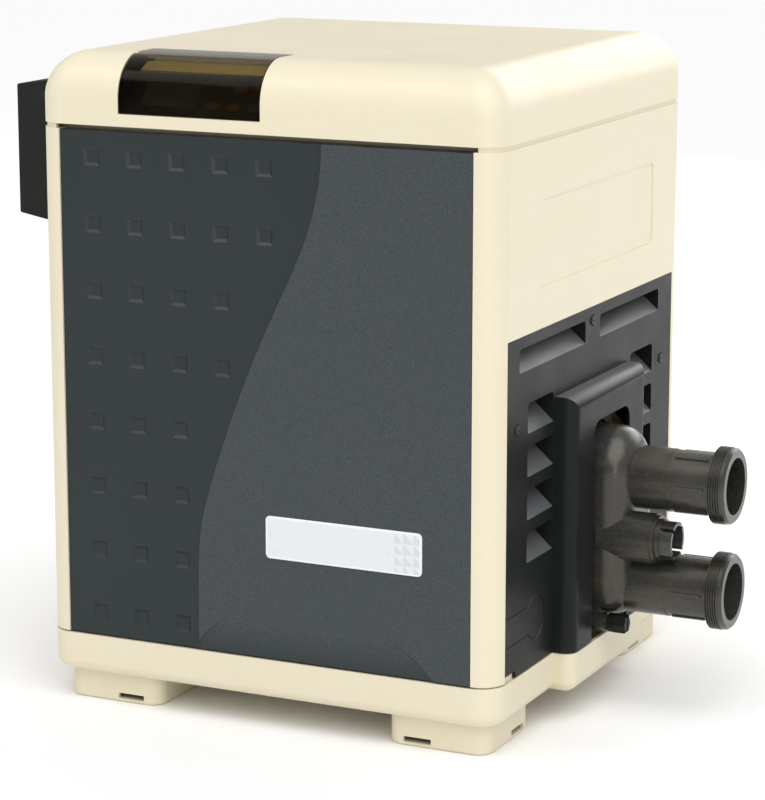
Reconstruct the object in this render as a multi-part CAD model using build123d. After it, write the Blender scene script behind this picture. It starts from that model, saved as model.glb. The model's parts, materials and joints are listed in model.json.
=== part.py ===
from build123d import *
import os
from math import cos, radians, sin

# A gas-fired pool and spa heater: a square cream cabinet on four feet, with a
# dark front door, a dark louvred vent panel and the water manifold on the +X
# side, and the flue hood on the -X side.
# Millimetres. +Z is up, -Y is the front, +X is the plumbing side. The origin
# is on the floor, under the centre of the cabinet.

# ---------------------------------------------------------------- dimensions
SIDE = 525.0                 # cabinet width and depth
HALF = SIDE / 2
CORNER_R = 28.0              # vertical corners of the cabinet
WALL = 3.5                   # moulded jacket thickness
FOOT_H = 33.0
BASE_TOP = 75.5
JACKET_BOTTOM = 77.5
JACKET_TOP = 618.0
LID_BOTTOM = 623.0
HEIGHT = 697.0
LID_ROUND = 46.0             # radius over the lid's top edges
LID_WALL = 4.0

DOOR_HALF = 234.2            # half width of the front door
DOOR_TOP = 617.0
DOOR_LOW_FACE = -260.5       # the door's smooth left zone
DOOR_HIGH_FACE = -263.2      # the door's raised right zone
DOOR_BACK = -244.0
POST_INNER = 234.7           # where the corner posts end beside the door

SIDE_CENTRE = -7.5           # Y of the plumbing on the side of the cabinet
VENT_Y0, VENT_Y1 = -237.5, 230.5
VENT_TOP = 427.5
VENT_FACE = 262.3
VENT_BACK = 259.3
COVER_FACE = 285.5           # outer face of the plumbing cover
COVER_HALF = 104.5
COVER_TOP = 350.0
COVER_R = 14.0
PORT_GAP_HALF = 52.0         # half width of the opening round the manifold
PORT_GAP_TOP = 315.0

OUTLET_Z = 249.0             # upper water port
INLET_Z = 135.0              # lower water port
NECK_END = 357.0             # where the nipples are joined to the manifold
NIPPLE_END = 424.0
NIPPLE_R = 33.0
PORT_BORE_R = 30.2           # takes a 60.3 mm pipe
COLLAR_START = 405.0
PORT_STOP = 373.0              # a pipe pushed into a port stops here
COLLAR_R = 41.0
BOSS_Y = SIDE_CENTRE - 22.5  # bypass boss between the two ports
BOSS_Z = 189.0
BOSS_END = 350.0
DRAIN_Y, DRAIN_Z = -36.0, 93.5

TUB_X, TUB_Y = -10.0, SIDE_CENTRE
TUB_R = 170.0
TUB_BOTTOM, TUB_TOP = 92.0, 400.0
COIL_COUNT = 6
COIL_PITCH = 32.0
COIL_LOW = 118.0

HOOD_OUT = -381.0            # outer face of the exhaust hood
HOOD_HALF = 110.0

WINDOW_X0, WINDOW_X1 = -162.5, 0.0
WINDOW_LOW = 637.0
WINDOW_T = 2.5
PIN_Y, PIN_Z = -190.0, 693.0
PIN_R = 1.5
BARREL_R = 4.0

KEYPAD_LOW = (-253.0, 634.0)     # lower front edge of the sloping keypad, Y Z
KEYPAD_ANGLE = 48.0              # slope of the keypad from the horizontal
KEYPAD_LEN = 56.0

GAS_Y, GAS_Z = -160.0, 128.0
GAS_SOCKET_R = 13.5          # takes a 26.7 mm pipe
POWER_Y, POWER_Z = 180.0, 150.0
VALVE_X = -205.0
BLOWER_X, BLOWER_Y = 62.0, 88.0
BLOWER_LOW, BLOWER_HIGH = 470.0, 530.0
MIXER_Z = 449.0


# ------------------------------------------------------------------- helpers
def save(name, shape):
    export_step(shape, f"parts/{name}.step")


def block(x0, x1, y0, y1, z0, z1):
    return Pos((x0 + x1) / 2, (y0 + y1) / 2, (z0 + z1) / 2) * Box(x1 - x0, y1 - y0, z1 - z0)


def rect(a0, a1, b0, b1):
    return Pos((a0 + a1) / 2, (b0 + b1) / 2) * Rectangle(a1 - a0, b1 - b0)


def round_rect(a0, a1, b0, b1, r):
    return Pos((a0 + a1) / 2, (b0 + b1) / 2) * RectangleRounded(a1 - a0, b1 - b0, r)


def disc(a, b, r):
    return Pos(a, b) * Circle(r)


def slab_x(sketch, x0, x1):
    """A sketch drawn in (Y, Z), thick along X."""
    return extrude(Plane.YZ.offset(x0) * sketch, x1 - x0)


def slab_y(sketch, y0, y1):
    """A sketch drawn in (X, Z), thick along Y."""
    return extrude(Plane.XZ.offset(-y1) * sketch, y1 - y0)


def slab_z(sketch, z0, z1):
    """A sketch drawn in (X, Y), thick along Z."""
    return extrude(Plane.XY.offset(z0) * sketch, z1 - z0)


def rod_x(r, x0, x1, y, z):
    return slab_x(disc(y, z, r), x0, x1)


def rod_y(r, y0, y1, x, z):
    return slab_y(disc(x, z, r), y0, y1)


def rod_z(r, z0, z1, x, y):
    return slab_z(disc(x, y, r), z0, z1)


def outline(points):
    return make_face(Polyline(*points, close=True))


def square_ring(inset, wall, z0, z1):
    """A ring that follows the cabinet's outline, inset from it."""
    outer = SIDE - 2 * inset
    inner = outer - 2 * wall
    r = CORNER_R - inset
    ring = RectangleRounded(outer, outer, r) - RectangleRounded(inner, inner, r - wall)
    return slab_z(ring, z0, z1)


def pipe(points, radius, bends, wall):
    """A tube along straight runs joined by arcs, open at both ends."""
    path = FilletPolyline(*points, radius=bends)
    start = Plane(origin=path @ 0, z_dir=path % 0)
    section = Circle(radius) - Circle(radius - wall)
    return sweep(start * section, path=path)


# ---------------------------------------------------------------- base tray
FOOT_OUT = 247.5
FOOT_IN = 134.0
FOOT_R = 17.0
FOOT_WALL = 4.0
BASE_WALL = 5.0
TRAY_FLOOR = 40.0
SLOT_AT = 169.0              # anchor slots, along each outer face of a foot
SLOT_HALF = 15.5
SLOT_Z0, SLOT_Z1 = 4.0, 10.0


def foot(sx, sy):
    """A hollow foot, closed at the top by the tray, with an anchor slot in each outer face."""
    mid = (FOOT_OUT + FOOT_IN) / 2
    width = FOOT_OUT - FOOT_IN
    inner = width - 2 * FOOT_WALL
    solid = slab_z(RectangleRounded(width, width, FOOT_R), 0, FOOT_H)
    solid = fillet(solid.faces().sort_by(Axis.Z)[0].edges(), 3.0)
    well = slab_z(RectangleRounded(inner, inner, FOOT_R - FOOT_WALL), SLOT_Z0, FOOT_H + 1)
    slot = block(-SLOT_HALF, SLOT_HALF, -8, 8, SLOT_Z0, SLOT_Z1)
    body = Pos(sx * mid, sy * mid, 0) * (solid - well)
    body -= Pos(sx * SLOT_AT, sy * FOOT_OUT, 0) * slot
    return body - Pos(sx * FOOT_OUT, sy * SLOT_AT, 0) * Rot(0, 0, 90) * slot


def base_feet():
    return Compound(children=[foot(sx, sy) for sx in (-1, 1) for sy in (-1, 1)])


def base_pan():
    y0 = SIDE_CENTRE - COVER_HALF
    y1 = SIDE_CENTRE + COVER_HALF
    plan = RectangleRounded(SIDE, SIDE, CORNER_R)
    ledge = round_rect(200, COVER_FACE, y0, y1, COVER_R)
    shell = slab_z(plan + ledge, FOOT_H, BASE_TOP)
    shell = fillet(shell.faces().sort_by(Axis.Z)[0].edges(), 12.0)
    tray = SIDE - 2 * BASE_WALL
    inside = slab_z(RectangleRounded(tray, tray, CORNER_R - BASE_WALL), TRAY_FLOOR, BASE_TOP + 1)
    ledge_pocket = slab_z(
        round_rect(200, COVER_FACE - 4, y0 + 4, y1 - 4, COVER_R - 4), TRAY_FLOOR + 8, BASE_TOP + 1
    )
    body = shell - inside - ledge_pocket
    rim = square_ring(WALL + 0.2, 2.8, BASE_TOP - 8, BASE_TOP + 8)
    rim -= block(200, 300, VENT_Y0, VENT_Y1, BASE_TOP, 100)
    rim -= block(-POST_INNER - 4.5, POST_INNER + 4.5, -300, -200, BASE_TOP, 100)
    body += rim
    return body + block(255.5, 259.0, -236.5, -212, BASE_TOP - 8, 83)


# ------------------------------------------------------------------- jacket
VENT_FRAME = 10.0            # flange behind the vent panel
VENT_SCREWS = [(SIDE_CENTRE - 3, 413), (-213, 335), (199, 335)]


def jacket_ring():
    return square_ring(0, WALL, JACKET_BOTTOM, JACKET_TOP)


def corner_posts(side):
    """Half of the jacket: a side wall that wraps round both corners."""
    keep = block(0, HALF, -HALF, HALF, 0, HEIGHT)
    front_gap = block(-1, POST_INNER, -HALF - 1, -200, 0, HEIGHT)
    rear_gap = block(-1, POST_INNER, 200, HALF + 1, 0, HEIGHT)
    half = (jacket_ring() & keep) - front_gap - rear_gap
    half += block(POST_INNER, POST_INNER + WALL, -HALF + 0.5, -238, JACKET_BOTTOM, JACKET_TOP)
    half += block(222, POST_INNER + WALL, -241.5, -238, JACKET_BOTTOM, JACKET_TOP)
    half += block(222, POST_INNER + WALL, 256.2, 259, 84.5, 599.5)
    if side < 0:
        half = mirror(half, about=Plane.YZ)
    return half


def side_panel_right():
    wall = corner_posts(1)
    window = block(250, 270, VENT_Y0 - 0.8, VENT_Y1 + 0.8, 0, VENT_TOP + 0.8)
    wall -= window
    ring = rect(-246, 240, 84.5, VENT_TOP + VENT_FRAME) - rect(
        VENT_Y0 + VENT_FRAME, VENT_Y1 - VENT_FRAME, 0, VENT_TOP - VENT_FRAME
    )
    for y, z in VENT_SCREWS:
        ring += rect(y - 9, y + 9, z - 9, z + 9)
    ring += rect(-235, -213, 326, 344) + rect(199, 232, 326, 344)
    for y, z in VENT_SCREWS:
        ring -= disc(y, z, 2.4)
    wall += slab_x(ring, 256, 259)
    recess = slab_x(round_rect(-163, 165, 471, 560, 8), HALF - 0.9, HALF + 1)
    return wall - recess


def side_panel_left():
    wall = corner_posts(-1)
    flue = block(-270, -250, -83, 83, 508, 598)
    gas = rod_x(18, -270, -250, GAS_Y, GAS_Z)
    power = rod_x(14.2, -270, -250, POWER_Y, POWER_Z)
    recess = slab_x(round_rect(-200, 200, 230, 470, 8), -HALF - 1, -HALF + 0.9)
    return wall - flue - gas - power - recess


def rear_panel():
    half = POST_INNER - 0.5
    plate = block(-half, half, HALF - WALL + 0.3, HALF, JACKET_BOTTOM, JACKET_TOP)
    for column in (-1, 1):
        for row in range(9):
            z = 150 + 22 * row
            slot = slab_y(round_rect(-75, 75, z, z + 7, 3.4), 250, 270)
            plate -= Pos(column * 105, 0, 0) * slot
            lip = outline([(259.8, z + 12), (259.8, z + 8), (252, z), (250, z)])
            plate += slab_x(lip, column * 105 - 78, column * 105 + 78)
    plate -= slab_y(round_rect(-200, 200, 400, 560, 10), HALF - 0.9, HALF + 1)
    return plate


def top_frame():
    """Ring under the lid: it closes the jacket and locates the lid."""
    frame = square_ring(WALL + 0.3, 3.0, 600, JACKET_TOP)
    frame += square_ring(1.8, 5.0, JACKET_TOP, LID_BOTTOM)
    frame += square_ring(LID_WALL + 0.8, 2.2, LID_BOTTOM, 632)
    frame -= block(-POST_INNER - 4, POST_INNER + 4, -270, -236, 590, 640)
    frame += block(-257, 257, -237.8, -234.8, 600, 632)
    return frame


# -------------------------------------------------------------------- lid
def lid_solid(inset, z0, r_top):
    plan = RectangleRounded(SIDE - 2 * inset, SIDE - 2 * inset, CORNER_R - inset)
    body = slab_z(plan, z0, HEIGHT - inset)
    return fillet(body.faces().sort_by(Axis.Z)[-1].edges(), r_top)


def lid():
    outer = lid_solid(0, LID_BOTTOM, LID_ROUND)
    inner = lid_solid(LID_WALL, LID_BOTTOM - 1, LID_ROUND - LID_WALL)
    shell = outer - inner
    opening = block(WINDOW_X0 - 1, WINDOW_X1 + 1, -270, PIN_Y + BARREL_R + 1.5, WINDOW_LOW - 1, 710)
    shell -= opening
    for x0 in (WINDOW_X0 - 7, WINDOW_X1 + 2):
        lug = block(x0, x0 + 5, PIN_Y - 4.5, PIN_Y + 5.5, PIN_Z - 5, HEIGHT - LID_WALL + 0.5)
        shell += lug
    shell -= rod_x(PIN_R, WINDOW_X0 - 6, WINDOW_X1 + 6, PIN_Y, PIN_Z)
    ledge = outline(
        [
            (-214.0, 676.8),
            (-199.0, 685.0),
            (-183.0, 685.0),
            (-183.0, 695.0),
            (-180.0, 695.0),
            (-180.0, 682.5),
            (-198.0, 682.5),
            (-213.0, 674.3),
        ]
    )
    return shell + slab_x(ledge, WINDOW_X0 - 0.8, WINDOW_X1 + 0.8)


def display_window():
    """Curved cover that follows the lid's front edge, on a barrel hinge."""
    cy = -HALF + LID_ROUND
    cz = HEIGHT - LID_ROUND
    bend = (disc(cy, cz, LID_ROUND) - disc(cy, cz, LID_ROUND - WINDOW_T)) & rect(cy - 60, cy, cz, cz + 60)
    front = rect(-HALF, -HALF + WINDOW_T, WINDOW_LOW, cz)
    top = rect(cy, PIN_Y, HEIGHT - WINDOW_T, HEIGHT)
    barrel = disc(PIN_Y, PIN_Z, BARREL_R)
    section = front + bend + top + barrel - disc(PIN_Y, PIN_Z, PIN_R + 0.06)
    return slab_x(section, WINDOW_X0, WINDOW_X1)


def keypad_frame():
    """Local frame of the keypad: X to the right, Y up the slope, Z outwards."""
    y0, z0 = KEYPAD_LOW
    slope = radians(KEYPAD_ANGLE)
    return Plane(origin=(0, y0, z0), x_dir=(1, 0, 0), z_dir=(0, -sin(slope), cos(slope)))


KEYPAD = keypad_frame()
BEZEL_X0, BEZEL_X1 = WINDOW_X0 - 5.1, WINDOW_X1 + 5.1
LID_INNER_FRONT = -HALF + LID_WALL + 0.2
BUTTONS = {
    "button_spa": (-38.0, 16.0),
    "button_pool": (-62.0, 16.0),
    "button_off": (-14.0, 16.0),
    "button_down": (-38.0, 38.0),
    "button_up": (-16.0, 38.0),
}
LENS = (-148.0, -84.0, 14.0, 44.0)   # display window in keypad coordinates


def on_keypad(sketch, low, high):
    return extrude(KEYPAD.offset(low) * sketch, high - low)


def button_shape(grow):
    return SlotOverall(16 + 2 * grow, 10 + 2 * grow)


def control_bezel():
    plate = on_keypad(rect(BEZEL_X0, BEZEL_X1, 0, KEYPAD_LEN), -3, 0)
    for x, v in BUTTONS.values():
        plate -= on_keypad(Pos(x, v) * button_shape(0.35), -5, 2)
    plate -= on_keypad(rect(LENS[0], LENS[1], LENS[2], LENS[3]), -5, 2)
    top = KEYPAD.from_local_coords((0, KEYPAD_LEN, 0))
    toe = block(BEZEL_X0, BEZEL_X1, LID_INNER_FRONT, KEYPAD_LOW[0] + 3, 631, 634)
    cy = -HALF + LID_ROUND
    cz = HEIGHT - LID_ROUND
    inside = disc(cy, cz, LID_ROUND - LID_WALL - 0.2) + rect(LID_INNER_FRONT, cy, 631, cz)
    inside += rect(cy, -196, 631, HEIGHT - LID_WALL - 0.2)
    ahead = outline(
        [(-259, 631), (-251, 631), (top.Y, top.Z - 3.2), (-196, top.Z - 3.2), (-196, 694), (-259, 694)]
    )
    cheek = inside & ahead
    cheeks = slab_x(cheek, BEZEL_X0, BEZEL_X0 + 4) + slab_x(cheek, BEZEL_X1 - 4, BEZEL_X1)
    return plate + toe + cheeks


def display_lens():
    return on_keypad(rect(LENS[0] + 0.1, LENS[1] - 0.1, LENS[2] + 0.1, LENS[3] - 0.1), -2.4, -0.4)


def control_board():
    board = on_keypad(rect(-156, -4, 3, 54), -10.6, -9.0)
    board += on_keypad(rect(LENS[0] + 2, LENS[1] - 2, LENS[2] + 2, LENS[3] - 2), -9.0, -2.6)
    for x, v in BUTTONS.values():
        board += on_keypad(Pos(x, v) * Rectangle(6, 6), -9.0, -5.4)
    for x in (-153, -72, -5.5):
        for v in (5, 51):
            board += on_keypad(Pos(x, v) * Circle(1.8), -9.0, -3.0)
    return board


# -------------------------------------------------------------- front door
DIMPLE = 18.5
DIMPLE_X = -197.0
DIMPLE_PITCH_X = 50.2
DIMPLE_Z = 590.0
DIMPLE_PITCH_Z = 69.8
DIMPLE_COUNTS = (5, 5, 4, 4, 3, 3, 3, 3)
DOOR_CURVE = [(69, DOOR_TOP), (57, 540), (3, 420), (-66, 239), (-77, JACKET_BOTTOM)]
MOUND_TOP = 137.0


def raised_zone():
    """Right part of the door, bounded by a long S-shaped curve."""
    curve = Spline(*DOOR_CURVE, tangents=[(-0.02, -1), (0, -1)])
    right = Polyline((-77, JACKET_BOTTOM), (DOOR_HALF, JACKET_BOTTOM), (DOOR_HALF, DOOR_TOP), (69, DOOR_TOP))
    return make_face(curve + right)


def dimple():
    top = Rectangle(DIMPLE, DIMPLE)
    bottom = Pos(0, 0, -2.2) * Rectangle(DIMPLE - 6, DIMPLE - 6)
    return loft([top.face(), bottom.face()])


def front_door():
    face = slab_y(rect(-DOOR_HALF, DOOR_HALF, JACKET_BOTTOM, DOOR_TOP), DOOR_LOW_FACE, DOOR_LOW_FACE + 3.5)
    zone = slab_y(raised_zone(), DOOR_HIGH_FACE, DOOR_LOW_FACE + 1)
    zone = chamfer(zone.faces().sort_by(Axis.Y)[0].edges(), 1.2)
    slope = outline(
        [(DOOR_HIGH_FACE - 2, MOUND_TOP + 42), (DOOR_HIGH_FACE + 2.4, 70), (DOOR_HIGH_FACE - 2, 70)]
    )
    oval = slab_y(Pos(62, 40) * Rot(0, 0, -6) * Ellipse(150, 97), -280, -250)
    zone -= oval & slab_x(slope, -100, 230)
    door = face + zone
    rim = rect(-DOOR_HALF, DOOR_HALF, JACKET_BOTTOM, DOOR_TOP) - rect(
        -DOOR_HALF + 2.5, DOOR_HALF - 2.5, JACKET_BOTTOM + 2.5, DOOR_TOP - 2.5
    )
    door += slab_y(rim, DOOR_LOW_FACE, DOOR_BACK)
    cutter = dimple()
    for row, count in enumerate(DIMPLE_COUNTS):
        for column in range(count):
            x = DIMPLE_X + DIMPLE_PITCH_X * column
            z = DIMPLE_Z - DIMPLE_PITCH_Z * row
            door -= Pos(x, DOOR_LOW_FACE, z) * Rot(90, 0, 0) * cutter
    return door


def door_badge():
    plate = slab_y(round_rect(4.5, 181.5, 186, 231, 5), DOOR_HIGH_FACE - 1.4, DOOR_HIGH_FACE)
    return chamfer(plate.faces().sort_by(Axis.Y)[0].edges(), 0.5)


# -------------------------------------------------------- side vent panel
LARGE_LOUVRES = [(-208.0, -30.0), (11.0, 189.0)]
LARGE_Z0, LARGE_Z1 = 390.0, 416.0
SMALL_LOUVRES = [(-185.0, -116.5), (104.0, 172.0)]
SMALL_Z0 = 189.0
SMALL_PITCH = 45.0
SMALL_H = 33.0
KEYHOLE_Y, KEYHOLE_Z = -160.0, 128.0


def louvre(y0, y1, z0, z1):
    """Opening and the sloping scoop that sheds rain behind it."""
    rise = z1 - z0
    hole = slab_x(round_rect(y0, y1, z0, z1, 5), VENT_BACK - 1, VENT_FACE + 1)
    depth = 0.8 * rise
    sill_line = [
        (VENT_FACE, z0 - 1.0),
        (VENT_FACE, z0 + 1.5),
        (VENT_BACK - depth, z0 + 0.86 * rise),
        (VENT_BACK - depth - 2, z0 + 0.86 * rise - 2),
    ]
    sill = slab_y(outline(sill_line), y0 - 2, y1 + 2)
    cheek_line = [
        (VENT_BACK, z0 - 2.5),
        (VENT_BACK, z1 + 0.8),
        (VENT_BACK - depth - 2, z1 + 0.8),
        (VENT_BACK - depth - 2, z0 + 0.8 * rise),
    ]
    cheek = slab_y(outline(cheek_line), 0, 2)
    return hole, sill + Pos(0, y0 - 2, 0) * cheek + Pos(0, y1, 0) * cheek


def plumbing_cover():
    y0 = SIDE_CENTRE - COVER_HALF
    y1 = SIDE_CENTRE + COVER_HALF
    outer = slab_z(round_rect(200, COVER_FACE, y0, y1, COVER_R), JACKET_BOTTOM, COVER_TOP)
    outer &= slab_y(round_rect(180, COVER_FACE, 0, COVER_TOP, COVER_R), y0, y1)
    inner = slab_z(round_rect(190, COVER_FACE - 3, y0 + 3, y1 - 3, COVER_R - 3), 0, COVER_TOP - 3)
    inner &= slab_y(round_rect(180, COVER_FACE - 3, -20, COVER_TOP - 3, COVER_R - 3), y0, y1)
    gap = slab_x(
        round_rect(
            SIDE_CENTRE - PORT_GAP_HALF, SIDE_CENTRE + PORT_GAP_HALF, JACKET_BOTTOM - 60, PORT_GAP_TOP, 16
        ),
        270,
        300,
    )
    return (outer - block(150, VENT_BACK, -300, 300, 0, 400)), inner, gap


def side_vent_panel():
    plate = slab_x(rect(VENT_Y0, VENT_Y1, JACKET_BOTTOM, VENT_TOP), VENT_BACK, VENT_FACE)
    louvres = [(y0, y1, LARGE_Z0, LARGE_Z1) for y0, y1 in LARGE_LOUVRES]
    for y0, y1 in SMALL_LOUVRES:
        for row in range(4):
            z0 = SMALL_Z0 + SMALL_PITCH * row
            louvres.append((y0, y1, z0, z0 + SMALL_H))
    cover, inner, gap = plumbing_cover()
    panel = plate + cover - inner - gap
    for y0, y1, z0, z1 in louvres:
        hole, scoop = louvre(y0, y1, z0, z1)
        panel = panel - hole + (scoop - cover)
    keyhole = disc(KEYHOLE_Y, KEYHOLE_Z, 24) + rect(VENT_Y0 - 5, KEYHOLE_Y, KEYHOLE_Z - 16, KEYHOLE_Z + 16)
    groove = keyhole - offset(keyhole, -1.6)
    panel -= slab_x(groove, VENT_FACE - 1.2, VENT_FACE + 1)
    panel -= block(258, 270, -237.5, -211, 70, 84)
    for y, z in VENT_SCREWS:
        panel -= rod_x(6.5, VENT_FACE - 0.8, VENT_FACE + 1, y, z)
        panel -= rod_x(2.4, VENT_BACK - 1, VENT_FACE + 1, y, z)
    return panel


def vent_panel_screws():
    screws = []
    for y, z in VENT_SCREWS:
        head = rod_x(4.8, VENT_FACE - 0.8, VENT_FACE + 1.4, y, z)
        head = fillet(head.faces().sort_by(Axis.X)[-1].edges(), 1.0)
        drive = slab_x(Pos(y, z) * (Rectangle(5.5, 1.1) + Rectangle(1.1, 5.5)), VENT_FACE + 0.2, VENT_FACE + 3)
        screws.append(head - drive + rod_x(2.3, 256, VENT_FACE, y, z))
    return Compound(children=screws)


# ------------------------------------------------------------ exhaust hood
HOOD_WALL = 3.0
HOOD_Z0, HOOD_Z1 = 500.5, 643.5           # at the outer face
HOOD_WALL_Z0, HOOD_WALL_Z1 = 480.0, 660.0   # against the cabinet


def hood_profile(inset):
    return outline(
        [
            (-HALF, HOOD_WALL_Z0 + inset),
            (HOOD_OUT + 1.5 + inset, HOOD_Z0 + inset),
            (HOOD_OUT + inset, HOOD_Z0 + 1.5 + inset),
            (HOOD_OUT + inset, HOOD_Z1 - 1.5 - inset),
            (HOOD_OUT + 1.5 + inset, HOOD_Z1 - inset),
            (-HALF, HOOD_WALL_Z1 - inset),
        ]
    )


def exhaust_hood():
    body = slab_y(hood_profile(0), -HOOD_HALF, HOOD_HALF)
    hollow = slab_y(hood_profile(HOOD_WALL), -HOOD_HALF + HOOD_WALL, HOOD_HALF - HOOD_WALL)
    body -= hollow
    outlet = slab_x(round_rect(-92, 92, 516, 630, 6), HOOD_OUT - 1, HOOD_OUT + HOOD_WALL + 1)
    body -= outlet
    for row in range(4):
        z = 524 + 27 * row
        slat = outline([(HOOD_OUT, z), (HOOD_OUT, z + 3), (HOOD_OUT + 14, z + 15), (HOOD_OUT + 14, z + 12)])
        body += slab_y(slat, -93, 93)
    for y in (-94, 92):
        body += block(HOOD_OUT + HOOD_WALL - 0.5, HOOD_OUT + 14, y, y + 2, 514, 632)
    flange = slab_x(
        rect(-HOOD_HALF - 12, HOOD_HALF + 12, 468, 668) - rect(-HOOD_HALF + 3, HOOD_HALF - 3, 483.5, 656),
        -HALF - 3,
        -HALF,
    )
    flange &= block(-300, -200, -200, 200, 470, JACKET_TOP)
    return body + flange - block(-264.5, -260, -115, 115, JACKET_TOP, 670)


HOOD_SCREWS = [(y, z) for y in (-116, 116) for z in (500, 552, 604)]


def hood_screws():
    screws = [rod_x(4.5, -HALF - 5, -HALF - 3, y, z) for y, z in HOOD_SCREWS]
    return Compound(children=screws)


# -------------------------------------------------------- flue and furnace
FLUE_X0, FLUE_X1 = -252.0, -188.0
FLUE_Z0, FLUE_Z1 = 320.0, 597.0
FLUE_OUT_Z0, FLUE_OUT_Z1 = 511.0, 595.0


def flue_duct():
    outer = block(FLUE_X0, FLUE_X1, -80, 80, FLUE_Z0, FLUE_Z1)
    body = outer - block(FLUE_X0 + 2, FLUE_X1 - 2, -78, 78, FLUE_Z0 + 2, FLUE_Z1 - 2)
    body += block(-HALF - 8, FLUE_X0 + 1, -80, 80, FLUE_OUT_Z0, FLUE_OUT_Z1)
    body -= block(-HALF - 9, FLUE_X0 + 4, -78, 78, FLUE_OUT_Z0 + 2, FLUE_OUT_Z1 - 2)
    body += block(FLUE_X1 - 1, -166, -52, 52, 333, 394)
    body -= block(FLUE_X1 - 4, -160, -50, 50, 335, 392)
    return body


def combustion_tub():
    plan = disc(TUB_X, TUB_Y, TUB_R)
    tub = slab_z(plan, TUB_BOTTOM, TUB_TOP)
    tub -= slab_z(disc(TUB_X, TUB_Y, TUB_R - 2), TUB_BOTTOM + 3, TUB_TOP + 1)
    tub += slab_z(disc(TUB_X, TUB_Y, 110) - disc(TUB_X, TUB_Y, 104), TRAY_FLOOR, TUB_BOTTOM)
    tub -= block(-200, -150, -52.3, 52.3, 332.7, 394.3)
    tub -= block(120, 180, TUB_Y - 55, TUB_Y + 55, 98, 300)
    return tub


def tub_insulation():
    blanket = slab_z(disc(TUB_X, TUB_Y, TUB_R - 2.3) - disc(TUB_X, TUB_Y, 160), TUB_BOTTOM + 3, TUB_TOP)
    blanket -= block(-200, -140, -52.3, 52.3, 332.7, 394.3)
    return blanket - block(100, 180, TUB_Y - 55, TUB_Y + 55, 98, 300)


def tub_lid():
    plate = slab_z(disc(TUB_X, TUB_Y, TUB_R + 5) - disc(TUB_X, TUB_Y, 47), TUB_TOP, TUB_TOP + 4)
    plate -= rod_z(5.3, 390, 410, TUB_X - 80, TUB_Y)
    return plate - block(-200, FLUE_X1 + 2, -85, 85, 390, 410)


HEADER_X0, HEADER_X1 = 205.0, 238.0
LEG_GAP = 34.0               # coil legs, either side of the header's centre


def coil_height(index):
    return COIL_LOW + COIL_PITCH * index


def coil_tube(index):
    z = coil_height(index)
    near = TUB_X + 116
    far = TUB_X - 116
    y0 = TUB_Y - 116
    y1 = TUB_Y + 116
    low = TUB_Y - LEG_GAP
    high = TUB_Y + LEG_GAP
    points = [(HEADER_X0 + 4, low), (near, low), (near, y0), (far, y0)]
    points += [(far, y1), (near, y1), (near, high), (HEADER_X0 + 4, high)]
    return pipe([(x, y, z) for x, y in points], 11.0, [30, 40, 85, 85, 40, 30], 1.5)


def coil_tubes():
    return Compound(children=[coil_tube(index) for index in range(COIL_COUNT)])


def water_header():
    y0 = SIDE_CENTRE - 60
    y1 = SIDE_CENTRE + 60
    body = block(HEADER_X0, HEADER_X1, y0, y1, 84, 316)
    body = fillet(body.edges().filter_by(Axis.X), 10)
    body -= block(HEADER_X0 + 8, HEADER_X1 + 1, y0 + 22, y1 - 22, 100, 186)
    body -= block(HEADER_X0 + 8, HEADER_X1 + 1, y0 + 22, y1 - 22, 196, 302)
    for index in range(COIL_COUNT):
        for side in (-1, 1):
            y = TUB_Y + side * LEG_GAP
            body -= rod_x(11.05, HEADER_X0 - 1, HEADER_X0 + 20, y, coil_height(index))
    return body


def burner():
    x, y = TUB_X, TUB_Y
    tube = slab_z(disc(x, y, 45) - disc(x, y, 43), 150, TUB_TOP + 4)
    tube += slab_z(disc(x, y, 45), 146, 150)
    tube += slab_z(disc(x, y, 62) - disc(x, y, 43), TUB_TOP + 4, TUB_TOP + 8)
    return tube


def blower_housing():
    x, y = BLOWER_X, BLOWER_Y
    low, high = BLOWER_LOW, BLOWER_HIGH
    duct = (TUB_X - 28, TUB_X + 28, TUB_Y - 38, y)
    outer = rod_z(88, low, high, x, y) + block(*duct, low, high)
    outer += rod_z(34, TUB_TOP + 8, low, TUB_X, TUB_Y) + rod_z(60, TUB_TOP + 8, TUB_TOP + 14, TUB_X, TUB_Y)
    inner = rod_z(85, low + 3, high - 3, x, y)
    inner += block(duct[0] + 3, duct[1] - 3, duct[2] + 3, duct[3], low + 3, high - 3)
    inner += rod_z(30, TUB_TOP + 7, low + 4, TUB_X, TUB_Y)
    inlet = rod_z(30, low - 1, low + 4, x, y)
    shaft_hole = rod_z(8, high - 4, high + 1, x, y)
    return outer - inner - inlet - shaft_hole


def blower_impeller():
    x, y = BLOWER_X, BLOWER_Y
    wheel = rod_z(72, BLOWER_HIGH - 12, BLOWER_HIGH - 9, x, y)
    for index in range(18):
        turn = Rot(0, 0, 20 * index)
        vane = turn * Pos(60, 0, 0) * Rot(0, 0, 35) * Box(20, 1.6, 33)
        wheel += Pos(x, y, BLOWER_HIGH - 28) * vane
    ring = slab_z(disc(x, y, 72) - disc(x, y, 50), BLOWER_LOW + 14, BLOWER_LOW + 16)
    shaft = rod_z(4, BLOWER_HIGH - 20, BLOWER_HIGH + 12, x, y)
    return wheel + ring + shaft


def blower_motor():
    x, y = BLOWER_X, BLOWER_Y
    can = rod_z(44, BLOWER_HIGH + 5, BLOWER_HIGH + 70, x, y)
    can = fillet(can.faces().sort_by(Axis.Z)[-1].edges(), 6)
    foot_plate = rod_z(52, BLOWER_HIGH, BLOWER_HIGH + 5, x, y)
    bore = rod_z(4.06, BLOWER_HIGH - 1, BLOWER_HIGH + 14, x, y)
    body = can + foot_plate - bore
    for index in range(8):
        body += Pos(x, y, BLOWER_HIGH + 40) * Rot(0, 0, 45 * index) * Pos(45, 0, 0) * Box(4, 2, 40)
    return body


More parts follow.
